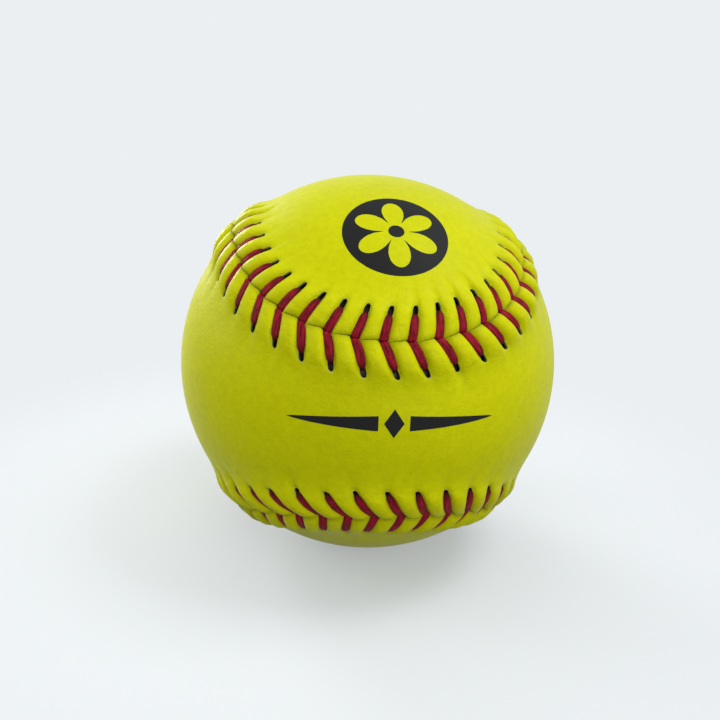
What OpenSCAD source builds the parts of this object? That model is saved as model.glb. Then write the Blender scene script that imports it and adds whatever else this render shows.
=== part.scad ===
// Softball with a two-panel leather cover sewn over a moulded core.
// The origin is at the ball's centre, +Z is up, and the front is towards -Y.
// One waist of the cover runs level across the front, and the other stands upright at the back.

/* [Ball] */
// Diameter over the smooth leather
ball_d = 96; // [90:0.5:102]
// Thickness of the leather
leather_t = 1.6; // [1.2:0.1:1.8]
// Thickness of the dried cement between the core and the leather
cement_t = 0.3; // [0.1:0.1:0.8]

/* [Seam line] */
// Angle of the seam's turns above and below the middle, seen from the ball's centre
turn_angle = 25.2; // [23:0.1:28]
// Angle by which each of the long legs between the turns leans in
leg_lean = 4; // [0:0.5:6]

/* [Raised lips] */
// Height of the sewn lips above the smooth leather
lip_rise = 2; // [1.9:0.1:2.6]
// Distance from the seam line to the crest of a lip
lip_crest = 3.4; // [3:0.1:3.8]
// Distance from the seam line to the foot of a lip
lip_reach = 9.4; // [9.2:0.1:10.6]

/* [Stitches] */
// Number of stitches round the ball
stitch_count = 88; // [80:2:96]
// Distance from the seam line to the rows of stitch holes
hole_inset = 7; // [6.8:0.1:7.5]
// Diameter of a stitch hole
hole_d = 1.8; // [1.8:0.1:2.2]
// How far a hole of the front panel lies along the seam from the end of its stitch
front_slant = 2.4; // [2:0.1:3.6]
// How far a hole of the back panel lies along the seam from the end of its stitch
back_slant = 1.8; // [1:0.1:3]

/* [Thread] */
// Width of the flat waxed thread
thread_w = 1.3; // [1:0.1:1.4]
// Thickness of the flat waxed thread
thread_t = 0.6; // [0.4:0.1:0.7]
// Distance between the two threads where they go down through the seam
thread_pitch = 1.8; // [1.7:0.1:2]

/* [Hidden] */
$fn = 96;

// Free space over and under the thread, and between it and the sides of a seam slot
thread_play = 0.1;
slot_play = 0.2;
// Length of the thread ends tucked under the cover
tail = 2.5;
// Length by which a cut runs past what it cuts
overrun = 1;
// Place of the first stitch, as a share of the stitch pitch from the front top middle of the seam
phase_share = 0.4;

// Steps round the seam, and cells across the smooth field of a panel
seam_steps = 132;
field_cells = 8;
// Where the rings of a lip lie, as shares of the distance from the seam line to its foot
lip_shares = [0, 0.16, 0.36, 0.66, 1];
// How far the flat facets of the leather dip towards the core, as a share of the radius
dip_share = 0.0055;

ball_r = ball_d / 2;
inner_r = ball_r - leather_t;
cement_r = inner_r * (1 - dip_share);
core_r = cement_r - cement_t;

// The seam has four turns, each an arc of a circle, joined by four legs, each an arc of a great circle.
// All of these are unit vectors from the ball's centre.
turn_tilt = atan((cos(turn_angle) - cos(leg_lean) / sqrt(2)) / (sin(turn_angle) + sin(leg_lean)));
turn_radius = 90 - turn_tilt - turn_angle;
turn_axis = [0, -sin(turn_tilt), cos(turn_tilt)];
turn_front = [0, -cos(turn_tilt), -sin(turn_tilt)];
turn_across = [1, 0, 0];
leg_axis = [-cos(leg_lean) / sqrt(2), -sin(leg_lean), cos(leg_lean) / sqrt(2)];
leg_middle = [1, 0, 1] / sqrt(2);
leg_along = cross(leg_axis, leg_middle);
join = (turn_axis - sin(turn_radius) * leg_axis) / cos(turn_radius);

// Positions along the seam are in degrees of a great circle, from the front top middle to the right.
turn_half = acos(join * turn_front / sin(turn_radius)) * sin(turn_radius);
leg_half = acos(join * leg_middle);
quarter = 2 * (turn_half + leg_half);
seam_length = 4 * quarter;
pitch = seam_length / stitch_count;
// Length of one degree on the smooth ball
degree = ball_r * PI / 180;

function unit(v) = v / norm(v);
function mix(a, b, share) = a + (b - a) * share;

// Half a turn about the axis between right and up, which swaps the two panels.
function swapped(p) = [p.z, -p.y, p.x];
// A quarter turn about the middle axis with a mirroring, which swaps the panels and keeps the way round.
function next_quarter(p) = [p.z, -p.y, -p.x];
function turned(p, quarters) = quarters == 0 ? p : turned(next_quarter(p), quarters - 1);

function turn_dir(a) =
    let (b = a / sin(turn_radius))
    cos(turn_radius) * turn_axis
        + sin(turn_radius) * (cos(b) * turn_front + sin(b) * turn_across);
function turn_side(a) = (turn_axis - cos(turn_radius) * turn_dir(a)) / sin(turn_radius);
function leg_dir(a) = cos(a) * leg_middle + sin(a) * leg_along;

// Direction of the seam line, and the way across it to the back panel, within the first quarter.
function quarter_dir(a) =
    a < turn_half ? turn_dir(a)
    : a < quarter - turn_half ? leg_dir(a - quarter / 2)
    : swapped(turn_dir(quarter - a));
function quarter_side(a) =
    a < turn_half ? turn_side(a)
    : a < quarter - turn_half ? leg_axis
    : -swapped(turn_side(quarter - a));

// The same for any place along the seam.
function quarter_of(a) = floor((a - seam_length * floor(a / seam_length)) / quarter);
function in_quarter(a) = a - quarter * floor(a / quarter);
function seam_dir(a) = turned(quarter_dir(in_quarter(a)), quarter_of(a));
function seam_side(a) =
    (quarter_of(a) % 2 == 0 ? 1 : -1) * turned(quarter_side(in_quarter(a)), quarter_of(a));
function seam_along(a) = cross(seam_side(a), seam_dir(a));

// A point at place a along the seam, v across it towards the back panel, and r from the ball's centre.
function ball_point(a, v, r) = r * (cos(v / degree) * seam_dir(a) + sin(v / degree) * seam_side(a));

// A lip is a round ridge, and its underside keeps the leather's thickness.
lip_run = lip_reach - lip_crest;
lip_r = (pow(lip_run, 2) + pow(lip_rise, 2)) / (2 * lip_rise);
lip_centre = ball_r + lip_rise - lip_r;
under_r = lip_r - leather_t;
under_reach = lip_crest + sqrt(pow(under_r, 2) - pow(inner_r - lip_centre, 2));
function ridge(r, v) = lip_centre + sqrt(pow(r, 2) - pow(abs(v) - lip_crest, 2));
function lip_top(v) = ridge(lip_r, v);

// Points of one face of the back panel: the rings of its lip, and then the rows of its smooth field.
// Every row of the field joins two mirrored points of the last ring.
function panel_face(reach, ridge_r, field_r) = [
    for (share = lip_shares)
        for (i = [0 : seam_steps - 1])
            ball_point(i * seam_length / seam_steps, share * reach, ridge(ridge_r, share * reach)),
    for (i = [1 : seam_steps / 2 - 1])
        let (edge = ball_point(i * seam_length / seam_steps, reach, field_r))
        for (k = [1 : field_cells - 1])
            field_r * unit([edge.x * (2 * k / field_cells - 1), edge.y, edge.z])
];

// Number of a ring point, of a field point, and of all the points on one face.
function ring_point(j, i) = j * seam_steps + i % seam_steps;
last_ring = len(lip_shares) - 1;
field_start = len(lip_shares) * seam_steps;
face_points = field_start + (seam_steps / 2 - 1) * (field_cells - 1);
function field_point(i, k) =
    i == 0 || i == seam_steps / 2 || k == field_cells ? ring_point(last_ring, i)
    : k == 0 ? ring_point(last_ring, seam_steps - i)
    : field_start + (i - 1) * (field_cells - 1) + k - 1;

function quad(a, b, c, d) = [[a, c, b], [a, d, c]];
function flipped(face) = [face[2], face[1], face[0]];
function raised(face, by) = [face[0] + by, face[1] + by, face[2] + by];

lip_faces = [
    for (j = [0 : last_ring - 1])
        for (i = [0 : seam_steps - 1])
            each quad(ring_point(j, i), ring_point(j, i + 1), ring_point(j + 1, i + 1), ring_point(j + 1, i))
];
field_faces = [
    for (i = [0 : seam_steps / 2 - 1])
        for (k = [0 : field_cells - 1])
            for (face = quad(field_point(i, k), field_point(i, k + 1),
                             field_point(i + 1, k + 1), field_point(i + 1, k)))
                if (face[0] != face[1] && face[1] != face[2] && face[2] != face[0]) face
];
edge_faces = [
    for (i = [0 : seam_steps - 1])
        each quad(ring_point(0, i), ring_point(0, i) + face_points,
                  ring_point(0, i + 1) + face_points, ring_point(0, i + 1))
];
outer_faces = concat(lip_faces, field_faces);

module panel_shell() {
    outer = panel_face(lip_reach, lip_r, ball_r);
    inner = panel_face(under_reach, under_r, inner_r);
    polyhedron(
        concat(outer, inner),
        concat(outer_faces, [for (face = outer_faces) flipped(raised(face, face_points))], edge_faces)
    );
}

module to_front() {
    rotate([0, 90, 0])
        mirror([0, 1, 0])
            children();
}

// Places its children on the seam line's sphere, with Z outwards, X along the seam and Y across it.
module at_seam(a, v) {
    out = unit(ball_point(a, v, ball_r));
    along = seam_along(a);
    across = cross(out, along);
    multmatrix([for (i = [0 : 2]) [along[i], across[i], out[i], 0]])
        children();
}

function stitch_place(k) = -(k + phase_share) * pitch;
function slant(side) = (side > 0 ? back_slant : front_slant) / degree;
function hole_place(k, side) = stitch_place(k) + slant(side);

module stitch_holes(side) {
    for (k = [0 : stitch_count - 1])
        at_seam(hole_place(k, side), side * hole_inset)
            translate([0, 0, inner_r - overrun])
                cylinder(h = leather_t + lip_rise + 2 * overrun, d = hole_d);
}

// Where the two threads of a stitch go down between the panels.
module seam_slots() {
    slot = [thread_pitch + thread_w + 2 * slot_play, thread_t + 2 * slot_play, 2 * lip_rise + leather_t];
    for (k = [0 : stitch_count - 1])
        at_seam(stitch_place(k), 0)
            translate([-slot.x / 2, -slot.y / 2, inner_r])
                cube(slot);
}

// The thread's run at one stitch, as places along the seam, distances across it and radii.
// It comes up out of the hole, lies over the lip, and goes down through the seam.
over_route = thread_t / 2 + thread_play;
over_bend = over_route + 2 * thread_play;
// Under the cover it lies straight on the cement, so its ends rise by the height of that arc.
under_span = norm([hole_inset, pitch * degree]);
under_route = cement_r + over_route + cement_r - sqrt(pow(cement_r, 2) - pow(under_span / 2, 2));
// Two places on the lip, as shares of the way from the seam line to the hole
crest_shares = [0.68, 0.33];

function stitch_route(k, side) =
    let (hole = hole_place(k, side), end = stitch_place(k) + side * thread_pitch / 2 / degree)
    [
        [hole, side * hole_inset, under_route],
        [hole, side * hole_inset, lip_top(hole_inset) + over_bend],
        for (share = crest_shares)
            [mix(end, hole, share), side * share * hole_inset, lip_top(share * hole_inset) + over_route],
        [end, 0, lip_top(0) + over_bend],
        [end, 0, under_route]
    ];

// Each thread takes the two panels by turns, and its ends are tucked under the cover.
function side_of(k, strand) = (k + strand) % 2 == 0 ? 1 : -1;
function thread_places(strand) = [
    for (k = [0 : stitch_count - 1])
        each stitch_route(k, side_of(k, strand))
];
function tucked(from, to) = from + tail * unit(to - from);
function thread_points(strand) =
    let (
        places = thread_places(strand),
        points = [for (p = places) ball_point(p[0], p[1], p[2])],
        last = len(points) - 1
    )
    concat([tucked(points[0], points[last])], points, [tucked(points[last], points[0])]);
function thread_widths(strand) =
    let (places = thread_places(strand), widths = [for (p = places) seam_along(p[0])])
    concat([widths[0]], widths, [widths[len(widths) - 1]]);

// Four corners of the flat thread at one point, mitred where it bends.
function section(before, at, after, wide) =
    let (
        come = unit(at - before),
        go = unit(after - at),
        run = unit(come + go),
        w = unit(wide - (wide * run) * run) * thread_w / 2,
        t = cross(run, unit(w)) * thread_t / 2 / (run * go)
    )
    [at + w + t, at - w + t, at - w - t, at + w - t];

// Least distance between stretches of one thread that lie more than a stitch apart along it.
function least_gap(p) =
    let (apart = len(stitch_route(0, 1)) + 2)
    min([
        for (i = [0 : len(p) - 1 - apart])
            for (j = [i + apart : len(p) - 1])
                norm(p[i] - p[j])
    ]) - thread_w;

module thread(strand) {
    p = thread_points(strand);
    echo(str("least gap of thread ", strand + 1, " to itself: ", least_gap(p), " mm"));
    widths = thread_widths(strand);
    last = len(p) - 1;
    corners = [
        for (i = [0 : last])
            let (
                before = i == 0 ? 2 * p[0] - p[1] : p[i - 1],
                after = i == last ? 2 * p[last] - p[last - 1] : p[i + 1]
            )
            each section(before, p[i], after, widths[i])
    ];
    sides = [
        for (i = [0 : last - 1])
            for (c = [0 : 3])
                each quad(4 * i + c, 4 * i + (c + 1) % 4, 4 * i + 4 + (c + 1) % 4, 4 * i + 4 + c)
    ];
    ends = concat(quad(3, 2, 1, 0), quad(4 * last, 4 * last + 1, 4 * last + 2, 4 * last + 3));
    polyhedron(corners, concat(sides, ends));
}

module core() {
    color("#c9c2a8")
        sphere(core_r);
}

module cement_coat() {
    color("#d9cf9a")
        difference() {
            sphere(cement_r);
            sphere(core_r);
        }
}

module front_panel() {
    color("#d2dc28")
        difference() {
            to_front()
                panel_shell();
            stitch_holes(-1);
            seam_slots();
        }
}

module back_panel() {
    color("#d2dc28")
        difference() {
            panel_shell();
            stitch_holes(1);
            seam_slots();
        }
}

module first_thread() {
    color("#a0283c")
        thread(0);
}

module second_thread() {
    color("#a0283c")
        thread(1);
}

core();
cement_coat();
front_panel();
back_panel();
first_thread();
second_thread();
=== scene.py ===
# %% [markdown]
# # A sewn softball
# A softball is a moulded core, a coat of cement and a cover of two leather panels in the form of an eight.
# The panels are each other's quarter turn, and two waxed threads sew them together edge to edge.
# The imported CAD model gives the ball's size, so this lesson loads it first and builds the cover over it.

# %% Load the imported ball
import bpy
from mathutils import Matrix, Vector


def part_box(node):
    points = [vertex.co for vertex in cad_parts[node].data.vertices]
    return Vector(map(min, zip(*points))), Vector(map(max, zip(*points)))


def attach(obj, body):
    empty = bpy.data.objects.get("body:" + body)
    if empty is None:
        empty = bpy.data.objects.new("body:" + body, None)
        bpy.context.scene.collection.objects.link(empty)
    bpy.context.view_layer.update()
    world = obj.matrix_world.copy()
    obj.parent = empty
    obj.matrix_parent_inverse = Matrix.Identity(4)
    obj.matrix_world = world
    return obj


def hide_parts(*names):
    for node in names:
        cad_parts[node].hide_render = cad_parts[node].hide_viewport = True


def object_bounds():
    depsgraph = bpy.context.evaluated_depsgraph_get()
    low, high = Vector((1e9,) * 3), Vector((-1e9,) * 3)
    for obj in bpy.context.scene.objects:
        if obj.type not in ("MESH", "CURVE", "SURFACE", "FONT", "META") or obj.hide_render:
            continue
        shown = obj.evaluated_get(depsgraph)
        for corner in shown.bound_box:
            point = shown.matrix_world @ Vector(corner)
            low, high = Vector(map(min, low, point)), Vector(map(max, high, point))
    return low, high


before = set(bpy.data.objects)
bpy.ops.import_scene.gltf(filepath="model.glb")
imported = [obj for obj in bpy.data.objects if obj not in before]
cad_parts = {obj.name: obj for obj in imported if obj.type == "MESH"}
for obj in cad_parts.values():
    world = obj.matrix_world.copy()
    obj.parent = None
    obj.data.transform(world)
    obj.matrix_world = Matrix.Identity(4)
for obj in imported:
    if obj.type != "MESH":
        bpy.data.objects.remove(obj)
cad_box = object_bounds()
print("CAD box in metres:", [[round(x, 5) for x in corner] for corner in cad_box])

# %% The modules of this lesson
import math

import bmesh
import bpy
import numpy as np
from mathutils import Matrix, Vector

print("Blender", bpy.app.version_string)

# %% [markdown]
# ## Sizes
# Every size is in millimetres, as a ball maker writes it, and becomes metres when a mesh is finished.
# The leather is smooth over most of the ball and rises to a rounded lip on both sides of the seam.

# %% Sizes of the ball
MM = 0.001
BALL_R = 48.0
INNER_R = 46.4
LIP_RISE = 1.45
LIP_CREST = 3.4
LIP_FOOT = 13.8
LIP_BEND = 0.65
UNDER_RIDGE_R = 8.4
UNDER_CENTRE = 40.0
STITCHES = 88
core_low, core_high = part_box("core")
print("core is", round((core_high.x - core_low.x) / MM, 2), "mm across")

# %% [markdown]
# ## The seam line
# The seam has four turns, each an arc of a circle, and four legs, each an arc of a great circle.
# A freehand curve would never close on itself, so the line is worked out from two angles.
# The first is how high the seam passes over the front, and the second is how far its legs lean.

# %% Angles and directions of the seam
TURN_ANGLE = math.radians(25.2)
LEG_LEAN = math.radians(4.0)
HALF = math.sqrt(0.5)
leg_out = math.cos(LEG_LEAN) * HALF
turn_tilt = math.atan((math.cos(TURN_ANGLE) - leg_out) / (math.sin(TURN_ANGLE) + math.sin(LEG_LEAN)))
turn_radius = math.pi / 2 - turn_tilt - TURN_ANGLE
turn_axis = np.array([0, -math.sin(turn_tilt), math.cos(turn_tilt)])
turn_front = np.array([0, -math.cos(turn_tilt), -math.sin(turn_tilt)])
turn_across = np.array([1.0, 0, 0])
leg_axis = np.array([-leg_out, -math.sin(LEG_LEAN), leg_out])
leg_middle = np.array([HALF, 0, HALF])
leg_along = np.cross(leg_axis, leg_middle)
join = (turn_axis - math.sin(turn_radius) * leg_axis) / math.cos(turn_radius)
turn_half = math.acos(join @ turn_front / math.sin(turn_radius)) * math.sin(turn_radius)
leg_half = math.acos(join @ leg_middle)
quarter = 2 * (turn_half + leg_half)
SEAM = 4 * quarter * BALL_R
PITCH = SEAM / STITCHES
print("the seam is", round(SEAM, 1), "mm long and a stitch takes", round(PITCH, 3), "mm")


# %% The seam line as a function
def seam_frame(place):
    """Unit vectors at places in mm along the seam: outwards, and across it towards the back panel.

    The ball is the same after each quarter of the seam, and a quarter's second half mirrors its first.
    """
    turns, angle = np.divmod(np.mod(np.asarray(place, float) / BALL_R, 4 * quarter), quarter)
    second = (angle > quarter / 2)[:, None]
    near = np.minimum(angle, quarter - angle)[:, None]
    swing = near / math.sin(turn_radius)
    turn_out = math.cos(turn_radius) * turn_axis
    turn_out = turn_out + math.sin(turn_radius) * (np.cos(swing) * turn_front + np.sin(swing) * turn_across)
    turn_side = (turn_axis - math.cos(turn_radius) * turn_out) / math.sin(turn_radius)
    to_middle = near - quarter / 2
    straight_out = np.cos(to_middle) * leg_middle + np.sin(to_middle) * leg_along
    out = np.where(near < turn_half, turn_out, straight_out)
    side = np.where(near < turn_half, turn_side, leg_axis)
    out = np.where(second, out[:, [2, 1, 0]] * (1, -1, 1), out)
    side = np.where(second, side[:, [2, 1, 0]] * (-1, 1, -1), side)
    for step in (1, 2, 3):
        later = (turns >= step)[:, None]
        out = np.where(later, out[:, [2, 1, 0]] * (1, -1, -1), out)
        side = np.where(later, side[:, [2, 1, 0]] * (-1, 1, 1), side)
    return out, side


def on_ball(place, across, radius):
    """Points in mm at a place along the seam, a signed distance across it and a radius."""
    out, side = seam_frame(place)
    angle = (np.asarray(across, float) / BALL_R)[:, None]
    return np.asarray(radius, float)[:, None] * (np.cos(angle) * out + np.sin(angle) * side)


ends = on_ball(np.array([0, SEAM]), np.zeros(2), np.full(2, BALL_R))
print("the line closes to", float(np.abs(ends[0] - ends[1]).max()), "mm")

# %% [markdown]
# ## Stitches
# Each of the 88 stitches has a hole in either panel, and its two legs meet at the seam in a V.
# The legs lean along the seam, more in the front panel than in the back one, and bow a little.
# Most threads fill their holes, but at the front's upper middle they are pulled in towards the seam.
# The spacing isn't quite even round the ball, and a slow wave along the seam stands for that.
# A hand pulls each stitch differently, so every one has its own small shift, which thread and leather share.

# %% Where a stitch lies
# Side 1 is the back panel and -1 the front one. Holes are measured from the seam and shifts along it, in mm.
FIRST = 0.4
HOLE_AT = {1: 6.4, -1: 6.5}
HOLE_HALF = {1: (0.72, 1.35), -1: (0.60, 1.32)}
ENTER = {1: 5.2, -1: 5.5}
ENTER_FURTHER = 0.9
ENTER_OVER = 0.36
V_SHIFT = (-1.15, 0.55)
FOOT_APART = 0.2
HEAD_SHIFT = {1: (1.0, 0.35), -1: (2.45, -0.1)}
LEG_BEND = {1: 1.12, -1: 0.6}
LEG_REACH = 7.3
LEAN_END = 8.6
DRIFT = 0.9
rng = np.random.default_rng(88)
HOLE_SHIFT = {side: rng.normal(0, 0.16, STITCHES) for side in (1, -1)}
LOBE_PUFF = {side: 1 + rng.normal(0, 0.16, STITCHES) for side in (1, -1)}
CREASE = {side: np.clip(rng.gamma(1.2, 0.8, STITCHES), 0.1, 2.6) for side in (1, -1)}
BOW = {side: rng.normal(0, 0.10, STITCHES) for side in (1, -1)}


def per_stitch(values, x):
    """A value of each stitch, smoothed between neighbours round the seam."""
    turn = np.mod(-x / PITCH, STITCHES)
    low = np.floor(turn).astype(int)
    share = turn - low
    return values[low % STITCHES] * (1 - share) + values[(low + 1) % STITCHES] * share


def hand_spaced(place, shift):
    """A shift along the seam in mm: its mean, its swing round the ball and the drift of hand spacing."""
    turn = 2 * math.pi * place / SEAM
    return shift[0] + shift[1] * np.cos(turn) + DRIFT * np.sin(2 * turn)


def lean(x, v, side):
    """How far a leg has moved along the seam at a distance v from it, in mm."""
    foot = hand_spaced(x, V_SHIFT) + side * FOOT_APART
    head = hand_spaced(x, HEAD_SHIFT[side])
    share = np.minimum(v, LEAN_END) / LEG_REACH
    bow = per_stitch(BOW[side], x) * np.sin(np.minimum(share, 1) * math.pi)
    wander = per_stitch(HOLE_SHIFT[side], x) * share + bow
    return foot + (head - foot) * share ** LEG_BEND[side] + wander


print("a front leg leans", round(HEAD_SHIFT[-1][0] - V_SHIFT[0], 2), "mm along the seam in the mean")


# %% [markdown]
# ## The face of the leather
# The thread pulls a groove into the lip and the leather puffs up between two legs like a row of fingers.
# The cut edge rolls down into the seam, and creases run on past the holes where the hide was stretched.
# One function gives the height of the face anywhere, so the thread can lie exactly in its groove.

# %% Height of the leather's face
GROOVE_DEEP = 1.0
GROOVE_STEEP = (3.8, 1.2)
LOBE_BLUNT = 0.9
CREASE_FROM = 0.6
SEAM_GAP = 0.015
LOWEST_R = 47.75
EDGE_ROUND = 0.24
SEAM_WAVE = 0.28
EDGE_REACH = 1.4
V_DIP = 0.40
V_DIP_HALF = (1.6, 1.1)
NOTCH = 0.74
NOTCH_HALF = 0.76
# How far grime and painted shade reach from a hole, a leg and the edge, and how wide a frayed rim with
# painted highlight is
BY_HOLE = (0.8, 1.3)
BY_LEG = 1.0
BY_EDGE = 0.7
LEG_GRIME_SHADE = 0.6
LEG_GRIME_SHADE_END = 9.0
LEG_GRIME_SHADE_FADE = 1.5
PALE_RIM_WIDE = 0.13
# Three tables of distances in mm and values, from the hole for a groove and from the seam for a lobe.
GROOVE_HALF = ((-7, -0.8, 1.4, 5), (1.24, 1.20, 0.90, 1.25))
GROOVE_SHARE = (
    (-7, -6, -3.5, -1.2, 0.4, 1.4, 2.2, 4, 6.8),
    (0.75, 0.9, 1, 0.95, 0.72, 0.46, 0.30, 0.16, 0))
LOBE_HIGH = ((0, 1.2, 4, 6, 7.8, 9.6), (0.42, 0.64, 0.74, 0.58, 0.18, 0))


def lip_height(v):
    """The smooth lip without its grooves."""
    near = 1 - 0.12 * ((LIP_CREST - v) / LIP_CREST) ** 2
    climb = np.clip((LIP_FOOT - v) / (LIP_FOOT - LIP_CREST), 0, 1)
    far = np.where(climb < LIP_BEND, climb ** 2 / LIP_BEND, 1 - (1 - climb) ** 2 / (1 - LIP_BEND))
    return BALL_R + LIP_RISE * np.where(v < LIP_CREST, near, far)


def grime_shade_and_pale_rim_of(off, v, past, side):
    """How much grime and painted shade the leather gets by its holes, legs and edge, and how much fray and
    painted highlight the rims of its holes get.
    """
    # Painted shade with some grime: darker by each hole, along each leg's groove and at the cut edge by the
    # seam.
    by_hole = np.exp(-((off / BY_HOLE[0]) ** 2 + (past / BY_HOLE[1]) ** 2))
    fade = np.clip((LEG_GRIME_SHADE_END - v) / LEG_GRIME_SHADE_FADE, 0, 1)
    by_leg = LEG_GRIME_SHADE * np.exp(-(np.abs(off) / BY_LEG) ** 2) * fade
    grime_and_shade = np.maximum(np.maximum(by_hole, by_leg), np.exp(-(v / BY_EDGE) ** 2))
    # A pale rim on the far side of each hole: raw fray and a painted highlight of the edge catching light.
    wide, tall = HOLE_HALF[side]
    rim = np.hypot(off / wide, past / tall)
    raw = np.exp(-((rim - 1.0) / PALE_RIM_WIDE) ** 2) * np.clip(past / CREASE_FROM, 0, 1)
    return np.stack([grime_and_shade, raw], 1)


def face_of(x, v, side):
    """From the flat pattern to the ball: place, distance across, radius, grime with painted shade, and fray
    with painted highlight.
    """
    off = x - np.round(x / PITCH) * PITCH
    lobe = np.sin(math.pi * off / PITCH) ** 2
    place = x + lean(x, v, side)
    past = v - HOLE_AT[side]
    half = np.interp(past, *GROOVE_HALF)
    deep = np.interp(past, *GROOVE_SHARE)
    late = np.clip(past - CREASE_FROM, 0, 1)
    deep = deep * (1 + late * (per_stitch(CREASE[side], x) - 1))
    steep = GROOVE_STEEP[0] - GROOVE_STEEP[1] * np.clip(past / 2, 0, 1)
    groove = GROOVE_DEEP * deep * np.exp(-(np.abs(off) / half) ** steep)
    puff = np.interp(v, *LOBE_HIGH) * lobe ** LOBE_BLUNT * per_stitch(LOBE_PUFF[side], x)
    inset = np.clip((EDGE_ROUND - v) / (EDGE_ROUND - SEAM_GAP), 0, 1)
    rolled = EDGE_ROUND * (1 - np.sqrt(1 - inset ** 2))
    dip = V_DIP * np.exp(-(off / V_DIP_HALF[0]) ** 2 - (v / V_DIP_HALF[1]) ** 2)
    radius = np.maximum(lip_height(v) - groove + puff - rolled - dip, LOWEST_R)
    turn = 2 * math.pi * (place - hand_spaced(place, V_SHIFT)) / PITCH
    wave = -side * SEAM_WAVE * (np.sin(turn) + 0.35 * np.sin(2 * turn))
    notch = NOTCH * np.exp(-(np.abs(off) / NOTCH_HALF) ** 4)
    across = v + np.exp(-(v / EDGE_REACH) ** 2) * (wave + notch)
    return place - FIRST * PITCH, across, radius, grime_shade_and_pale_rim_of(off, v, past, side)


def under_height(v):
    """The underside of the leather, which arches over the threads beneath it."""
    arch = UNDER_CENTRE + np.sqrt(np.maximum(UNDER_RIDGE_R ** 2 - (v - LIP_CREST) ** 2, 0))
    return np.maximum(arch, INNER_R)


lobe_top = face_of(np.array([PITCH / 2]), np.array([LIP_CREST]), 1)[2]
print("a lobe stands", round(float(lobe_top[0]) - BALL_R, 2), "mm above the smooth leather")

# %% [markdown]
# ## A panel of leather
# A panel could be sculpted on a sphere, but its edge, lip and 88 holes must follow the seam exactly.
# So the band along the seam starts as a flat grid, which is cut and punched flat as the hide itself is.
# It is then wrapped on the ball by moving its vertices, welded end to end, and its middle is bridged across.
# Last, the whole face is extruded down to its underside, which also makes the walls of the holes.

# %% The flat pattern
# Columns are in mm from the middle of a stitch and crowd by its leg.
# Rows are in mm from the seam and crowd by the hole.
COLUMNS = (
    -2.2, -1.6, -1.22, -0.95, -0.72, -0.48, -0.25, 0, 0.25, 0.48, 0.72, 0.95, 1.22, 1.6, 2.2, PITCH / 2)
ROWS = (
    SEAM_GAP, 0.025, 0.05, 0.10, 0.17, 0.30, 0.60, 1.1, 1.8, 2.6, 3.4, 4.1, 4.6, 4.95, 5.25, 5.6, 5.95,
    6.3, 6.65, 7.0, 7.35, 7.65, 7.9, 8.2, 8.6, 9.2, 10.0, 11.0, 12.4, 14.0)
EVEN_FROM = 9.4
EVEN_OVER = 4.0
THIN = 4
ROUND = 2.6
RIM_REACH = 1.6
WELD = 0.004


def flat_strip(bm):
    """The band along the seam as a flat grid, x along it from stitch to stitch and y across it."""
    count, rows = STITCHES * len(COLUMNS), len(ROWS) - 1
    bmesh.ops.create_grid(bm, x_segments=count, y_segments=rows, size=0.5)
    for vert in bm.verts:
        column, row = round((vert.co.x + 0.5) * count), round((vert.co.y + 0.5) * rows)
        stitch, part = divmod(column - 1, len(COLUMNS))
        even = (part + 1) / len(COLUMNS) * PITCH - PITCH / 2
        mix = min(max((ROWS[row] - EVEN_FROM) / EVEN_OVER, 0), 1)
        vert.co = (stitch * PITCH + COLUMNS[part] * (1 - mix) + even * mix, ROWS[row], 0)


def punch_holes(bm, side):
    """Opens an oval hole at every stitch and rounds its rim."""
    wide, tall = HOLE_HALF[side]

    def shape(co):
        off = co.x - round(co.x / PITCH) * PITCH
        return (abs(off / wide) ** ROUND + abs((co.y - HOLE_AT[side]) / tall) ** ROUND) ** (1 / ROUND)

    inside = [face for face in bm.faces if shape(face.calc_center_median()) < 1]
    bmesh.ops.delete(bm, geom=inside, context="FACES")
    bare = [vert for vert in bm.verts if vert.is_boundary and ROWS[8] < vert.co.y < ROWS[-3]]
    for vert in bare:
        reach = shape(vert.co)
        if reach < RIM_REACH:
            middle = Vector((round(vert.co.x / PITCH) * PITCH, HOLE_AT[side], 0))
            vert.co = middle + (vert.co - middle) / reach


print("a panel's flat band has", STITCHES * len(COLUMNS) * (len(ROWS) - 1), "faces before it is punched")

# %% Wrapping the band on the ball
def wrap_on_ball(bm, side):
    """Moves the flat vertices to their places on the ball, and keeps what they were in the pattern."""
    flat = np.array([vert.co for vert in bm.verts])
    place, across, radius, looks = face_of(flat[:, 0], flat[:, 1], side)
    points = on_ball(place, side * across, radius)
    layers = [bm.verts.layers.float.new(name) for name in ("along", "from_seam", "grime_and_shade", "frayed_and_highlit")]
    for vert, point, values in zip(bm.verts, points, np.column_stack([place, flat[:, 1], looks])):
        vert.co = point
        for layer, value in zip(layers, values):
            vert[layer] = value
    ends = [vert for vert in bm.verts if vert.is_boundary]
    bmesh.ops.remove_doubles(bm, verts=ends, dist=WELD)
    return layers[:2]


print("the band covers", ROWS[-1], "mm of the ball on each side of the seam")

# %% Bridging the smooth middle
BRIDGE_CUTS = 36


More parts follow.
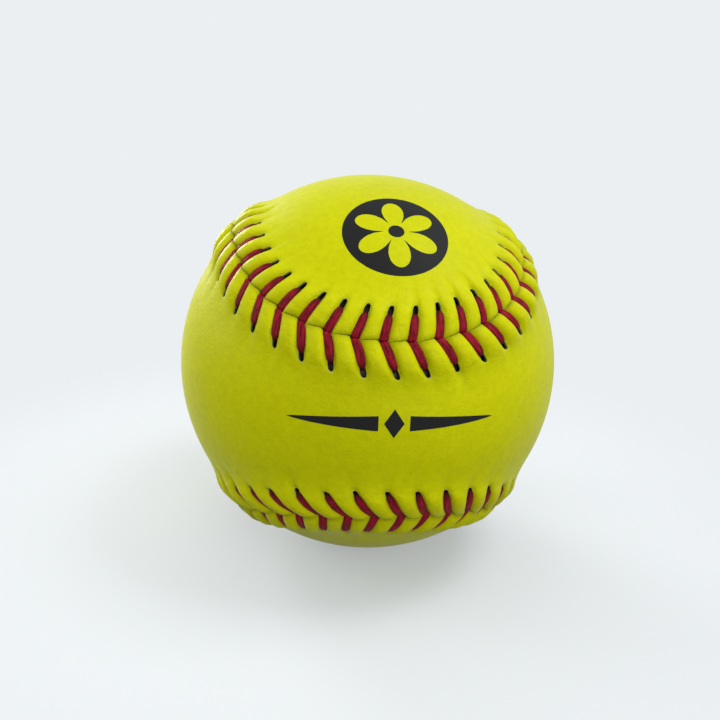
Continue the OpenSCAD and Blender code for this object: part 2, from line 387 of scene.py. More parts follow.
def bridge_middle(bm, side, along, from_seam):
    """Thins the inner rim, joins its two halves across the panel and pushes the new faces to the ball."""
    rim = [vert for vert in bm.verts if vert.is_boundary and vert[from_seam] > ROWS[-2]]
    rim.sort(key=lambda vert: vert[along])
    groups = [rim[k:k + THIN] for k in range(0, len(rim), THIN)]
    moves = {vert: group[1] for group in groups for vert in group if vert is not group[1]}
    bmesh.ops.weld_verts(bm, targetmap=moves)
    loop = [group[1] for group in groups]
    middle = 0 if side > 0 else quarter * BALL_R
    count = len(loop)
    tip = min(range(count), key=lambda k: abs((loop[k][along] - middle + SEAM / 2) % SEAM - SEAM / 2))
    halves = [[loop[(tip + way * k) % count] for k in range(1, count // 2)] for way in (1, -1)]
    sides = [bm.edges.get(pair) for half in halves for pair in zip(half, half[1:])]
    bmesh.ops.bridge_loops(bm, edges=sides)
    for number, end in ((tip, 0), ((tip + count // 2) % count, -1)):
        bmesh.ops.contextual_create(bm, geom=[loop[number], halves[0][end], halves[1][end]])
    first = set(halves[0])
    second = set(halves[1])
    cross = [edge for vert in first for edge in vert.link_edges if edge.other_vert(vert) in second]
    made = bmesh.ops.subdivide_edges(bm, edges=cross, cuts=BRIDGE_CUTS, use_grid_fill=True)
    for vert in made["geom_inner"]:
        if isinstance(vert, bmesh.types.BMVert):
            vert.co = vert.co.normalized() * BALL_R


print("the middle's rim keeps", STITCHES * len(COLUMNS) // THIN, "vertices, one in", THIN)

# %% Thickening to a closed hide
LEAST_THICK = 0.5


def thicken(bm, from_seam):
    """Extrudes the face down to the underside, which closes the edge and the walls of the holes."""
    made = bmesh.ops.extrude_face_region(bm, geom=bm.faces[:], use_keep_orig=True)
    under = [item for item in made["geom"] if isinstance(item, bmesh.types.BMVert)]
    heights = under_height(np.array([vert[from_seam] for vert in under]))
    for vert, height in zip(under, heights):
        vert.co = vert.co.normalized() * min(height, vert.co.length - LEAST_THICK)
    under = set(under)
    for face in bm.faces:
        face.material_index = 1 if any(vert in under for vert in face.verts) else 0
    bmesh.ops.recalc_face_normals(bm, faces=bm.faces)


def finish_mesh(bm, name, materials, crease=math.pi):
    """Turns a bmesh in mm into a smooth object in metres, with edges sharp past the crease angle."""
    for face in bm.faces:
        face.smooth = True
    for edge in bm.edges:
        same = len({face.material_index for face in edge.link_faces}) == 1
        edge.smooth = same and edge.calc_face_angle(0) < crease
    bmesh.ops.scale(bm, vec=(MM, MM, MM), verts=bm.verts)
    mesh = bpy.data.meshes.new(name)
    bm.to_mesh(mesh)
    open_edges = sum(not edge.is_manifold for edge in bm.edges)
    triangles = sum(len(face.verts) - 2 for face in bm.faces)
    volume = round(bm.calc_volume(signed=True) / MM ** 3)
    print(name, triangles, "triangles,", open_edges, "open edges,", volume, "mm3")
    bm.free()
    for material in materials:
        mesh.materials.append(material)
    made = bpy.data.objects.new(name, mesh)
    bpy.context.scene.collection.objects.link(made)
    return made


def make_panel(name, side, materials):
    """One panel of the cover: side 1 is the back panel and -1 the front one."""
    bm = bmesh.new()
    flat_strip(bm)
    punch_holes(bm, side)
    along, from_seam = wrap_on_ball(bm, side)
    bridge_middle(bm, side, along, from_seam)
    thicken(bm, from_seam)
    return finish_mesh(bm, name, materials)


print("the hide is", round(BALL_R - INNER_R, 2), "mm thick where it is smooth")

# %% [markdown]
# ## The two threads
# A ball is sewn with two needles, so each thread comes up through a hole in one panel and lies over the lip.
# It dives between the two edges, runs under the other panel and comes up through the next hole there.
# A curve with a bevel can't be flat, so a strip is rolled into a tube along the route, wide across the leg.

# %% The route of a thread
# Distance, height over the face or radius, half width and half thickness, all in mm.
# The distance is from where the thread enters its hole, and in the second list from the seam.
LEG_KEYS = (
    (0.40, 46.95, 0.48, 0.40),
    (0.38, 47.90, 0.54, 0.42),
    (0.15, 0.12, 0.66, 0.42),
    (-0.40, 0.42, 0.82, 0.42),
    (-1.4, 0.52, 0.93, 0.44),
    (-2.5, 0.52, 0.97, 0.44),
    (-3.4, 0.52, 0.98, 0.44),
)
SEAM_KEYS = (
    (0.90, 0.48, 0.99, 0.44),
    (0.52, 0.42, 1.00, 0.56),
    (0.44, 0.24, 0.98, 0.54),
    (0.41, 0.00, 0.88, 0.42),
    (0.40, 48.10, 0.58, 0.39),
    (0.20, 47.20, 0.46, 0.38),
)
UNDER_R = 46.75
UNDER_SIZE = (0.5, 0.4)
UNDER_SHARES = (0.3, 0.7)
DARK_FROM = 0.9
DARK_OVER = 1.3
TAIL_ALONG = 1.2
TAIL_BACK = 1.8
SPANS = 2
AROUND = 12
FLATTER = 0.8


def enter_at(x, side):
    """How far from the seam a thread enters its hole, which is least at the front's upper middle."""
    away = 1 - math.cos(2 * math.pi * x / SEAM)
    return ENTER[side] + ENTER_FURTHER * min(away / ENTER_OVER, 1)


def thread_keys(first_side):
    """The route as rows of place, signed distance across, radius, half width, half thickness and painted
    shade.
    """
    keys = []
    for stitch in range(STITCHES):
        side = first_side if stitch % 2 == 0 else -first_side
        start = enter_at(-stitch * PITCH, side)
        leg = [(start + v, height, wide, thick) for v, height, wide, thick in LEG_KEYS]
        x = np.array([-stitch * PITCH])
        for v, height, wide, thick in leg + list(SEAM_KEYS):
            place, _, radius, _ = face_of(x, np.array([v]), side)
            sunk = height > UNDER_CENTRE
            reach = height if sunk else radius[0] + height
            # Painted shade on the thread: full under the leather, and growing as a leg goes into its hole.
            dark = 1 if sunk else np.clip((v - start + DARK_FROM) / DARK_OVER, 0, 1)
            keys.append((place[0], side * v, reach, wide, thick, dark))
        foot = keys[-1]
        head_x = np.array([-(stitch + 1) * PITCH])
        enter = enter_at(head_x[0], -side) + LEG_KEYS[0][0]
        head = head_x[0] + lean(head_x, np.array([enter]), -side)[0] - FIRST * PITCH
        for share in UNDER_SHARES:
            keys.append((foot[0] + (head - foot[0]) * share, -side * enter * share, UNDER_R, *UNDER_SIZE, 1))
    tail = first_side * (ENTER[first_side] - TAIL_BACK)
    keys.insert(0, (keys[0][0] + TAIL_ALONG, tail, UNDER_R, *UNDER_SIZE, 1))
    return np.array(keys[:-1])


def smooth_route(keys):
    """A curve through every key, with a few stations between each two."""
    padded = np.vstack([2 * keys[0] - keys[1], keys, 2 * keys[-1] - keys[-2]])
    rows = []
    for k in range(1, len(padded) - 2):
        before, here, there, after = padded[k - 1:k + 3]
        for step in range(SPANS):
            t = step / SPANS
            rows.append(0.5 * (2 * here + (there - before) * t
                               + (2 * before - 5 * here + 4 * there - after) * t ** 2
                               + (3 * here - before - 3 * there + after) * t ** 3))
    rows.append(keys[-1])
    return np.array(rows)


print("a thread passes", len(LEG_KEYS) + len(SEAM_KEYS) + 2, "keys in each of", STITCHES, "stitches")

# %% Rolling the strip into a thread
print("a thread has", AROUND, "faces round it and", SPANS, "between two keys")


def make_thread(name, first_side, materials):
    """One thread along its whole route, with a UV map that runs round it and along it in cm."""
    rows = smooth_route(thread_keys(first_side))
    centre = on_ball(rows[:, 0], rows[:, 1], rows[:, 2])
    out, side = seam_frame(rows[:, 0])
    ahead = np.gradient(centre, axis=0)
    ahead /= np.linalg.norm(ahead, axis=1)[:, None]
    wide = np.cross(side, out)
    wide -= (wide * ahead).sum(1)[:, None] * ahead
    wide /= np.linalg.norm(wide, axis=1)[:, None]
    thick = np.cross(ahead, wide)
    length = np.concatenate([[0], np.cumsum(np.linalg.norm(np.diff(centre, axis=0), axis=1))])
    bm = bmesh.new()
    uv = bm.loops.layers.uv.new("thread_uv")
    grime_and_shade = bm.verts.layers.float.new("grime_and_shade")
    last = len(rows) - 1
    bmesh.ops.create_grid(bm, x_segments=last, y_segments=AROUND, size=0.5)
    for vert in bm.verts:
        vert.co = (round((vert.co.x + 0.5) * last), round((vert.co.y + 0.5) * AROUND), 0)
    for face in bm.faces:
        for loop in face.loops:
            loop[uv].uv = (loop.vert.co.y / AROUND, length[round(loop.vert.co.x)] / 10)
    for vert in bm.verts:
        k = round(vert.co.x)
        turn = 2 * math.pi * vert.co.y / AROUND
        flat_cos = math.copysign(abs(math.cos(turn)) ** FLATTER, math.cos(turn))
        vert.co = centre[k] + wide[k] * (rows[k, 3] * flat_cos) + thick[k] * (rows[k, 4] * math.sin(turn))
        vert[grime_and_shade] = min(max(rows[k, 5], 0), 1)
    bmesh.ops.remove_doubles(bm, verts=bm.verts, dist=WELD)
    bmesh.ops.holes_fill(bm, edges=[edge for edge in bm.edges if edge.is_boundary], sides=0)
    bmesh.ops.recalc_face_normals(bm, faces=bm.faces)
    print("the thread is", round(length[-1]), "mm long")
    return finish_mesh(bm, name, materials)


# %% [markdown]
# ## Colours and nodes
# Colours are written as the sRGB hex values of a paint chart, and one function turns them to linear light.
# One more function adds a shader node with its settings and links, so each material reads as a short recipe.

# %% Colour and node helpers
def paint(code):
    """A linear colour from an sRGB hex code."""
    parts = [int(code[k:k + 2], 16) / 255 for k in (1, 3, 5)]
    return tuple(p / 12.92 if p <= 0.04045 else ((p + 0.055) / 1.055) ** 2.4 for p in parts) + (1.0,)


def add(tree, kind, settings, sockets):
    """Adds a node, sets its settings, and fills each named or numbered input with a value or a link."""
    made = tree.nodes.new(kind)
    for name, value in settings.items():
        setattr(made, name, value)
    for name, value in sockets.items():
        if isinstance(value, bpy.types.NodeSocket):
            tree.links.new(value, made.inputs[name])
        else:
            made.inputs[name].default_value = value
    return made


def new_material(name):
    """An empty material with its tree, its shader and its Object coordinates."""
    material = bpy.data.materials.new(name)
    material.use_nodes = True
    tree = material.node_tree
    shader = tree.nodes["Principled BSDF"]
    where = add(tree, "ShaderNodeTexCoord", {}, {}).outputs["Object"]
    return material, tree, shader, where


def per_mm(size):
    """The scale of a pattern on Object coordinates whose cells are so many mm across."""
    return 1 / (size * MM)


print("optic yellow in linear light is", [round(part, 3) for part in paint("#D8DB06")])

# %% [markdown]
# ## Leather
# The cover is cowhide, drum-dyed optic yellow and sealed with a clear coat, then embossed with a fine grain.
# The eye sees a strong, even colour, soft wide highlights, fine pores and shade in every fold.
# Real pores are finer than a pixel here, so the grain is drawn as cells of about half a millimetre.
# Grain, pores and small gathers by the stitches are bumps; grime with painted shade, and pale hole rims with
# a painted highlight, come from attributes of the mesh.

# %% Optic yellow leather
def coated_cowhide(name):
    """The face of the cover, dyed, coated and embossed."""
    material, tree, shader, where = new_material(name)
    cloudy = add(tree, "ShaderNodeTexNoise", {}, {
        "Vector": where, "Scale": per_mm(18), "Detail": 3.0, "Roughness": 0.55})
    hue = add(tree, "ShaderNodeMix", {"data_type": "RGBA"}, {
        0: cloudy.outputs[0], 6: paint("#CED103"), 7: paint("#D8DB06")})
    grime_and_shade = add(tree, "ShaderNodeAttribute", {"attribute_name": "grime_and_shade"}, {})
    blotches = add(tree, "ShaderNodeTexNoise", {}, {
        "Vector": where, "Scale": per_mm(1.6), "Detail": 4.0, "Roughness": 0.6})
    mottle = add(tree, "ShaderNodeMix", {"data_type": "RGBA", "blend_type": "OVERLAY"}, {
        0: 0.28, 6: hue.outputs[2], 7: blotches.outputs[0]})
    # Painted shade with some grime: olive in the grooves, by the holes and at the seam edge, broken up by
    # noise.
    grimed_and_shaded = add(tree, "ShaderNodeMath", {"operation": "MULTIPLY"}, {
        0: grime_and_shade.outputs["Fac"], 1: blotches.outputs[0]})
    stained_and_shaded = add(tree, "ShaderNodeMix", {"data_type": "RGBA"}, {
        0: grimed_and_shaded.outputs[0], 6: mottle.outputs[2], 7: paint("#7E8204")})
    specks = add(tree, "ShaderNodeTexVoronoi", {}, {"Vector": where, "Scale": per_mm(6), "Randomness": 1.0})
    speck = add(tree, "ShaderNodeMapRange", {}, {
        "Value": specks.outputs["Distance"],
        "From Min": 0.018, "From Max": 0.032, "To Min": 0.55, "To Max": 0.0})
    speckled = add(tree, "ShaderNodeMix", {"data_type": "RGBA"}, {
        0: speck.outputs[0], 6: stained_and_shaded.outputs[2], 7: paint("#77791A")})
    grain = add(tree, "ShaderNodeTexVoronoi", {"feature": "SMOOTH_F1"}, {
        "Vector": where, "Scale": per_mm(0.55), "Smoothness": 0.6, "Randomness": 1.0})
    pores = add(tree, "ShaderNodeTexNoise", {}, {"Vector": where, "Scale": per_mm(0.28), "Detail": 2.0})
    pull = add(tree, "ShaderNodeTexNoise", {}, {"Vector": where, "Scale": per_mm(4.5), "Detail": 2.0})
    bump = add(tree, "ShaderNodeBump", {}, {
        "Height": pull.outputs[0], "Distance": 0.35 * MM, "Strength": 0.35})
    away = add(tree, "ShaderNodeAttribute", {"attribute_name": "from_seam"}, {})
    sewn = add(tree, "ShaderNodeMapRange", {}, {
        "Value": away.outputs["Fac"], "From Min": 11.5, "From Max": 7.0})
    gathers = add(tree, "ShaderNodeTexNoise", {}, {
        "Vector": where, "Scale": per_mm(3.4), "Detail": 2.0, "Roughness": 0.45, "Distortion": 1.2})
    bump = add(tree, "ShaderNodeBump", {}, {
        "Height": gathers.outputs[0], "Distance": 0.30 * MM, "Strength": sewn.outputs[0],
        "Normal": bump.outputs[0]})
    bump = add(tree, "ShaderNodeBump", {}, {
        "Height": grain.outputs["Distance"], "Distance": 0.08 * MM, "Strength": 0.6,
        "Normal": bump.outputs[0]})
    bump = add(tree, "ShaderNodeBump", {}, {
        "Height": pores.outputs[0], "Distance": 0.03 * MM, "Strength": 0.35, "Normal": bump.outputs[0]})
    sheen_of_coat = add(tree, "ShaderNodeMapRange", {}, {
        "Value": cloudy.outputs[0], "From Min": 0.3, "From Max": 0.7, "To Min": 0.38, "To Max": 0.48})
    # The pale hole rims, part raw fray and part painted highlight, broken up by noise.
    frayed_and_highlit = add(tree, "ShaderNodeAttribute", {"attribute_name": "frayed_and_highlit"}, {})
    rim_breakup = add(tree, "ShaderNodeMapRange", {}, {
        "Value": blotches.outputs[0], "From Min": 0.45, "From Max": 0.6})
    fray_and_highlight = add(tree, "ShaderNodeMath", {"operation": "MULTIPLY"}, {
        0: frayed_and_highlit.outputs["Fac"], 1: rim_breakup.outputs[0]})
    rimmed = add(tree, "ShaderNodeMix", {"data_type": "RGBA"}, {
        0: fray_and_highlight.outputs[0], 6: speckled.outputs[2], 7: paint("#CCD060")})
    tree.links.new(rimmed.outputs[2], shader.inputs["Base Color"])
    tree.links.new(sheen_of_coat.outputs[0], shader.inputs["Roughness"])
    tree.links.new(bump.outputs[0], shader.inputs["Normal"])
    shader.inputs["IOR"].default_value = 1.48
    shader.inputs["Specular IOR Level"].default_value = 0.065
    shader.inputs["Sheen Weight"].default_value = 0.03
    shader.inputs["Sheen Roughness"].default_value = 0.3
    return material


yellow = coated_cowhide("drum_dyed_coated_cowhide")
print(yellow.name, "has", len(yellow.node_tree.nodes), "nodes")

# %% [markdown]
# Where the hide is cut, its pale inside shows: loose fibres that took less of the dye and no coat.
# It is matt, and its colour is painted darker with depth as shade, because little light gets down into a
# hole.

# %% Raw cut edge of the leather
def raw_hide(name):
    """The cut wall and the underside of the hide."""
    material, tree, shader, where = new_material(name)
    fibres = add(tree, "ShaderNodeTexNoise", {}, {
        "Vector": where, "Scale": per_mm(0.35), "Detail": 5.0, "Roughness": 0.7})
    hue = add(tree, "ShaderNodeMix", {"data_type": "RGBA"}, {
        0: fibres.outputs[0], 6: paint("#A3A62C"), 7: paint("#D9DC8E")})
    depth = add(tree, "ShaderNodeVectorMath", {"operation": "LENGTH"}, {0: where})
    # Painted shade: the wall's colour darkens to near black with depth below the leather's face.
    dark = add(tree, "ShaderNodeMapRange", {}, {
        "Value": depth.outputs["Value"], "From Min": (BALL_R + 0.3) * MM, "From Max": (BALL_R - 0.6) * MM})
    shaded = add(tree, "ShaderNodeMix", {"data_type": "RGBA"}, {
        0: dark.outputs[0], 6: hue.outputs[2], 7: paint("#2E2614")})
    bump = add(tree, "ShaderNodeBump", {}, {
        "Height": fibres.outputs[0], "Distance": 0.12 * MM, "Strength": 0.6})
    tree.links.new(shaded.outputs[2], shader.inputs["Base Color"])
    tree.links.new(bump.outputs[0], shader.inputs["Normal"])
    shader.inputs["Roughness"].default_value = 0.9
    return material


raw = raw_hide("raw_cut_cowhide")
print(raw.name, "has", len(raw.node_tree.nodes), "nodes")

# %% [markdown]
# ## Thread
# The thread is dyed polyester, twisted from fine plies and drawn through wax, so it slides and lies flat.
# Wax gives it a dull shine over lines of fibre that run along it, and the hollows between the lines are
# painted darker as shade.

# %% Waxed crimson thread
def waxed_thread(name):
    """The two sewing threads, whose UV map runs round them and along them in cm."""
    material, tree, shader, where = new_material(name)
    uv = add(tree, "ShaderNodeUVMap", {"uv_map": "thread_uv"}, {})
    drawn = add(tree, "ShaderNodeMapping", {}, {"Vector": uv.outputs[0], "Scale": (11, 3, 1)})
    plies = add(tree, "ShaderNodeTexNoise", {}, {
        "Vector": drawn.outputs[0], "Scale": 1.0, "Detail": 4.0, "Roughness": 0.65})
    lines = add(tree, "ShaderNodeMapRange", {}, {
        "Value": plies.outputs[0], "From Min": 0.36, "From Max": 0.60})
    fluff = add(tree, "ShaderNodeTexNoise", {}, {"Vector": where, "Scale": per_mm(0.5), "Detail": 4.0})
    grime_and_shade = add(tree, "ShaderNodeAttribute", {"attribute_name": "grime_and_shade"}, {})
    hue = add(tree, "ShaderNodeMix", {"data_type": "RGBA"}, {
        0: fluff.outputs[0], 6: paint("#960E26"), 7: paint("#B6203A")})
    # Painted shade with fibre tone: darker in the hollows of the bump between plies.
    ply_tone_and_shade = add(tree, "ShaderNodeMix", {"data_type": "RGBA"}, {
        0: lines.outputs[0], 6: paint("#5A0614"), 7: hue.outputs[2]})
    # Painted shade: near black where the thread lies in its hole and under the leather.
    deep = add(tree, "ShaderNodeMix", {"data_type": "RGBA"}, {
        0: grime_and_shade.outputs["Fac"], 6: ply_tone_and_shade.outputs[2], 7: paint("#30070F")})
    bump = add(tree, "ShaderNodeBump", {}, {
        "Height": lines.outputs[0], "Distance": 0.14 * MM, "Strength": 0.8})
    tree.links.new(deep.outputs[2], shader.inputs["Base Color"])
    tree.links.new(bump.outputs[0], shader.inputs["Normal"])
    shader.inputs["Roughness"].default_value = 0.55
    shader.inputs["Specular IOR Level"].default_value = 0.11
    return material


crimson = waxed_thread("waxed_crimson_polyester")
print(crimson.name, "has", len(crimson.node_tree.nodes), "nodes")

# %% [markdown]
# ## Inside the ball
# The core is polyurethane that foams up and sets in a round mould, so it is dull with fine cells.
# The cement is a rubber glue, brushed on and dried to an amber skin; it makes the floor of the holes, so its
# amber is painted dark as shade.
# Both are plain balls in the CAD model already, so they keep their meshes and only get a better material.

# %% Core and cement
def moulded_foam(name):
    """The core's foam with its fine cells."""
    material, tree, shader, where = new_material(name)
    cells = add(tree, "ShaderNodeTexVoronoi", {}, {"Vector": where, "Scale": per_mm(0.6)})
    hue = add(tree, "ShaderNodeMix", {"data_type": "RGBA"}, {
        0: cells.outputs["Distance"], 6: paint("#CDB98C"), 7: paint("#E2D3AC")})
    bump = add(tree, "ShaderNodeBump", {}, {
        "Height": cells.outputs["Distance"], "Distance": 0.1 * MM, "Strength": 0.5})
    tree.links.new(hue.outputs[2], shader.inputs["Base Color"])
    tree.links.new(bump.outputs[0], shader.inputs["Normal"])
    shader.inputs["Roughness"].default_value = 0.7
    return material


def shade_darkened_cement(name):
    """The cement with the marks of its brush."""
    material, tree, shader, where = new_material(name)
    strokes = add(tree, "ShaderNodeTexNoise", {}, {
        "Vector": where, "Scale": per_mm(3), "Detail": 4.0, "Distortion": 1.5})
    # Painted shade: the amber is dark because the cement is seen only at the floor of the holes.
    hue = add(tree, "ShaderNodeMix", {"data_type": "RGBA"}, {
        0: strokes.outputs[0], 6: paint("#3A2E18"), 7: paint("#5A4826")})
    bump = add(tree, "ShaderNodeBump", {}, {
        "Height": strokes.outputs[0], "Distance": 0.2 * MM, "Strength": 0.5})
    tree.links.new(hue.outputs[2], shader.inputs["Base Color"])
    tree.links.new(bump.outputs[0], shader.inputs["Normal"])
    shader.inputs["Roughness"].default_value = 0.45
    return material


inside = {
    "core": moulded_foam("moulded_polyurethane_core"),
    "cement_coat": shade_darkened_cement("brushed_rubber_cement"),
}
for node, material in inside.items():
    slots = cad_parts[node].material_slots
    for slot in slots:
        slot.material = material
    print(node, "has", len(slots), "material slot")

# %% [markdown]
# ## Sewing the ball
# The panels and threads take the place of their CAD solids and ride on the ball's one body.

# %% Panels and threads
for name, side, node in (("back_cover", 1, "back_panel"), ("front_cover", -1, "front_panel")):
    panel = make_panel(name, side, [yellow, raw])
    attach(panel, "root")
    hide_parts(node)
for name, side, node in (("first_stitching", 1, "first_thread"), ("second_stitching", -1, "second_thread")):
    thread = make_thread(name, side, [crimson])
    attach(thread, "root")
    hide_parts(node)

# %% [markdown]
# ## Printed marks
# A ball is often stamped with a plain mark in dark ink, which lies on the grain as a very thin film.
# Each mark is a flat shape that is wrapped on the leather and made just thick enough to be a solid.

# %% Charcoal ink
def stamped_ink(name):
    """A dull film that takes the grain of the leather."""
    material, tree, shader, where = new_material(name)
    grain = add(tree, "ShaderNodeTexVoronoi", {"feature": "SMOOTH_F1"}, {
        "Vector": where, "Scale": per_mm(0.55), "Smoothness": 0.6, "Randomness": 1.0})
    worn = add(tree, "ShaderNodeTexNoise", {}, {
        "Vector": where, "Scale": per_mm(0.8), "Detail": 5.0, "Roughness": 0.7})
    hue = add(tree, "ShaderNodeMix", {"data_type": "RGBA"}, {
        0: worn.outputs[0], 6: paint("#121212"), 7: paint("#1F1F1F")})
    bump = add(tree, "ShaderNodeBump", {}, {
        "Height": grain.outputs["Distance"], "Distance": 0.05 * MM, "Strength": 0.5})
    tree.links.new(hue.outputs[2], shader.inputs["Base Color"])
    tree.links.new(bump.outputs[0], shader.inputs["Normal"])
    shader.inputs["Roughness"].default_value = 0.55
    shader.inputs["Specular IOR Level"].default_value = 0.15
    return material


ink = stamped_ink("stamped_charcoal_ink")
print(ink.name, "has", len(ink.node_tree.nodes), "nodes")

# %% Wrapping a mark on the ball
# Heights over the leather in mm, the angle past which an edge of a mark is sharp, and a welding distance
INK_LOW = -0.02
INK_HIGH = 0.035
INK_CREASE = 0.7
TOUCH = 0.0001


def stamp(bm, name, azimuth, elevation, material):
    """Wraps a flat shape in mm on the ball and thickens it. Azimuth runs to the right from the front."""
    az, el = math.radians(azimuth), math.radians(elevation)
    out = Vector((math.sin(az) * math.cos(el), -math.cos(az) * math.cos(el), math.sin(el)))
    right = Vector((math.cos(az), math.sin(az), 0))
    up = out.cross(right)
    made = bmesh.ops.extrude_face_region(bm, geom=bm.faces[:], use_keep_orig=True)
    top = {item for item in made["geom"] if isinstance(item, bmesh.types.BMVert)}
    for vert in bm.verts:
        way = right * vert.co.x + up * vert.co.y
        angle = way.length / BALL_R
        point = out * math.cos(angle) + (way.normalized() * math.sin(angle) if angle else Vector())
        vert.co = point * (BALL_R + (INK_HIGH if vert in top else INK_LOW))
    bmesh.ops.recalc_face_normals(bm, faces=bm.faces)
    mark = finish_mesh(bm, name, [material], INK_CREASE)
    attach(mark, "root")


print("the ink is", INK_HIGH, "mm proud of the leather")


# %% A round seal with a flower left bare
PETAL_FOOT = 0.24
PETAL_LONG = 0.58
PETAL_BLUNT = 0.7
DOT = 0.15


def flower_seal(radius, petals):
    """A disc of ink whose middle leaves the petals of a flower bare, round a dot."""
    bm = bmesh.new()
    turns = petals * 16
    made = bmesh.ops.create_grid(bm, x_segments=turns, y_segments=6, size=0.5)["verts"]
    for vert in made:
        turn = (vert.co.x + 0.5) * 2 * math.pi
        petal = abs(math.cos(turn * petals / 2))
        inner = radius * (PETAL_FOOT + PETAL_LONG * petal ** PETAL_BLUNT)
        reach = inner + (radius - inner) * (vert.co.y + 0.5)
        vert.co = (-reach * math.sin(turn), reach * math.cos(turn), 0)
    bmesh.ops.remove_doubles(bm, verts=bm.verts, dist=TOUCH)
    bmesh.ops.create_circle(bm, segments=32, radius=radius * DOT, cap_ends=True, cap_tris=True)
    return bm


stamp(flower_seal(radius=12, petals=6), "printed_seal", azimuth=2.8, elevation=57.0, material=ink)


# %% A tapered rule with a lozenge
def lozenge(bm, wide, tall):
    """A small grid turned on its corner and stretched."""
    made = bmesh.ops.create_grid(bm, x_segments=6, y_segments=6, size=math.sqrt(0.125))["verts"]
    bmesh.ops.rotate(bm, verts=made, cent=(0, 0, 0), matrix=Matrix.Rotation(math.pi / 4, 3, "Z"))
    bmesh.ops.scale(bm, vec=(wide, tall, 1), verts=made)


def tapered_rule(length, thick, gap):
    """Two long points that meet towards a small lozenge, like a printer's rule."""
    bm = bmesh.new()
    for way in (1, -1):
        made = bmesh.ops.create_grid(bm, x_segments=24, y_segments=2, size=0.5)["verts"]
        for vert in made:
            share = vert.co.x + 0.5
            vert.co = (way * (gap + share * (length / 2 - gap)), vert.co.y * thick * (1 - share) ** 0.7, 0)
    lozenge(bm, gap * 1.3, gap * 1.9)
    bmesh.ops.remove_doubles(bm, verts=bm.verts, dist=TOUCH)
    return bm


stamp(tapered_rule(length=47, thick=3.4, gap=3.4), "printed_rule", azimuth=0.0, elevation=4.5, material=ink)

# %% [markdown]
# ## The studio
# The ball lies on a plain pale floor in an even, pale room, so most of its light comes from all round.
# Three soft lamps shape it a little from above and the sides, and one behind it rims its upper left edge.
# Far from the ball the floor turns to the backdrop's colour, so no horizon shows and the shadow stays.

# %% Floor
BACKDROP = "#EBEFF2"
FLOOR_Z = min(cad_box[0][2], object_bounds()[0][2])


def seen_rays(tree):
    """1 for rays that come from the camera or by way of gloss or glass, and 0 for all others."""
    rays = add(tree, "ShaderNodeLightPath", {}, {}).outputs
    shown = add(tree, "ShaderNodeMath", {"operation": "MAXIMUM"}, {
        0: rays["Is Camera Ray"], 1: rays["Is Glossy Ray"]})
    shown = add(tree, "ShaderNodeMath", {"operation": "MAXIMUM"}, {
        0: shown.outputs[0], 1: rays["Is Transmission Ray"]})
    return shown.outputs[0]


def pale_floor(name):
    """A painted floor that fades into the backdrop away from the ball."""
    material, tree, shader, where = new_material(name)
    rings = add(tree, "ShaderNodeVectorMath", {"operation": "LENGTH"}, {0: where})
    far = add(tree, "ShaderNodeMapRange", {"interpolation_type": "SMOOTHSTEP"}, {
        "Value": rings.outputs["Value"], "From Min": 0.06, "From Max": 0.16})
    shown = seen_rays(tree)
    even = add(tree, "ShaderNodeMapRange", {}, {"Value": far.outputs[0], "To Min": 0.35, "To Max": 1.0})
    share = add(tree, "ShaderNodeMath", {"operation": "MULTIPLY"}, {0: shown, 1: even.outputs[0]})
    glow = add(tree, "ShaderNodeEmission", {}, {"Color": paint(BACKDROP), "Strength": 1.0})
    mixed = add(tree, "ShaderNodeMixShader", {}, {
        0: share.outputs[0], 1: shader.outputs[0], 2: glow.outputs[0]})
    tree.links.new(mixed.outputs[0], tree.nodes["Material Output"].inputs["Surface"])
    dimmed = add(tree, "ShaderNodeMix", {"data_type": "RGBA"}, {
        0: shown, 6: paint("#5C5E5E"), 7: paint(BACKDROP)})
    tree.links.new(dimmed.outputs[2], shader.inputs["Base Color"])
    shader.inputs["Roughness"].default_value = 0.9
    return material


bm = bmesh.new()
bmesh.ops.create_circle(bm, segments=64, radius=3.0, cap_ends=True)
bmesh.ops.translate(bm, vec=(0, 0, FLOOR_Z), verts=bm.verts)
floor_mesh = bpy.data.meshes.new("floor")
bm.to_mesh(floor_mesh)
bm.free()
floor_mesh.materials.append(pale_floor("pale_studio_floor"))
floor = bpy.data.objects.new("floor", floor_mesh)
bpy.context.scene.collection.objects.link(floor)
print("the floor lies", round(-FLOOR_Z / MM, 2), "mm under the ball's middle")


# %% Lamps and world
def soft_lamp(name, at, size, power):
    """A square area lamp that faces the ball."""
    data = bpy.data.lights.new(name, "AREA")
    data.size = size
    data.energy = power
    lamp = bpy.data.objects.new(name, data)
    lamp.location = at
    lamp.visible_camera = False
    lamp.rotation_euler = (-Vector(at)).to_track_quat("-Z", "Y").to_euler()
    bpy.context.scene.collection.objects.link(lamp)


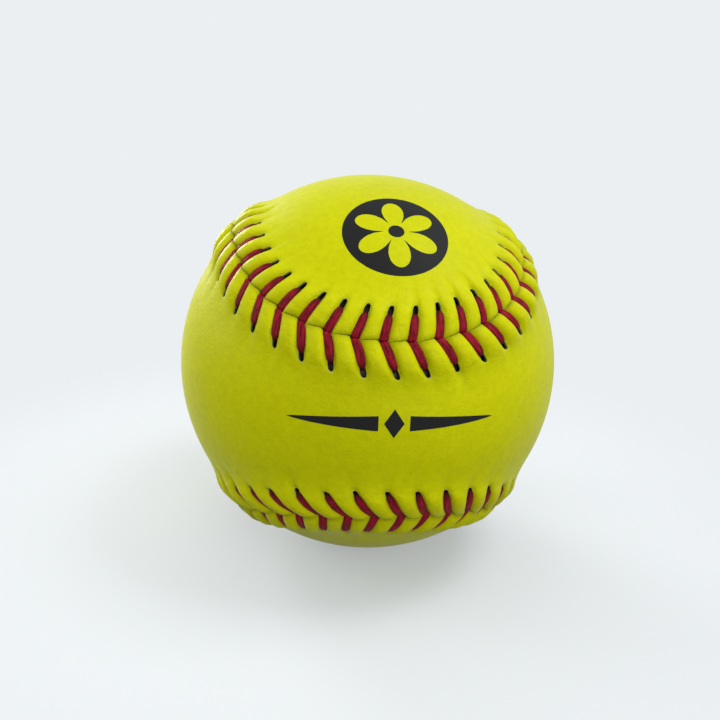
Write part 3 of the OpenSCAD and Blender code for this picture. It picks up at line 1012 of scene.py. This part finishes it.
soft_lamp("overhead_softbox", (0.26, -0.06, 0.50), size=0.25, power=1.15)
soft_lamp("right_fill", (0.17, -0.54, 0.20), size=0.3, power=0.97)
soft_lamp("left_fill", (-0.52, 0.14, 0.15), size=0.2, power=0.85)
soft_lamp("rear_window", (-0.31, 0.50, 0.15), size=0.2, power=2.0)
world = bpy.data.worlds.new("studio")
bpy.context.scene.world = world
world.use_nodes = True
sky = world.node_tree
shown = add(sky, "ShaderNodeBackground", {}, {"Color": paint(BACKDROP), "Strength": 1.0})
fill = add(sky, "ShaderNodeBackground", {}, {"Color": paint("#F2F4F7"), "Strength": 0.60})
mixed = add(sky, "ShaderNodeMixShader", {}, {
    0: seen_rays(sky), 1: fill.outputs[0], 2: shown.outputs[0]})
sky.links.new(mixed.outputs[0], sky.nodes["World Output"].inputs["Surface"])
bpy.context.scene.view_settings.view_transform = "Standard"

# %% [markdown]
# ## The camera
# The photograph looks down on the ball from close by, 20 degrees above level and a little from the left.
# The distance matters as much as the angle, because a near camera hides the rims that a far one would see.

# %% Camera
AZIMUTH = math.radians(-7.65)
ELEVATION = math.radians(20.35)
ROLL = math.radians(3.15)
DISTANCE = 4.8 * BALL_R * MM
level = math.cos(ELEVATION)
back = Vector((math.sin(AZIMUTH) * level, -math.cos(AZIMUTH) * level, math.sin(ELEVATION)))
right = Vector((math.cos(AZIMUTH), math.sin(AZIMUTH), 0))
up = back.cross(right)
tilted = right * math.cos(ROLL) + up * math.sin(ROLL)
upright = up * math.cos(ROLL) - right * math.sin(ROLL)
camera_data = bpy.data.cameras.new("camera")
camera_data.sensor_width = 36
camera_data.lens = 43.78
camera_data.shift_x = -0.0106
camera_data.shift_y = 0.0014
camera_data.clip_start = 0.01
camera = bpy.data.objects.new("camera", camera_data)
camera.matrix_world = Matrix((tilted, upright, back)).transposed().to_4x4()
camera.location = back * DISTANCE
bpy.context.scene.collection.objects.link(camera)
bpy.context.scene.camera = camera
print("camera at", [round(x, 4) for x in camera.location])
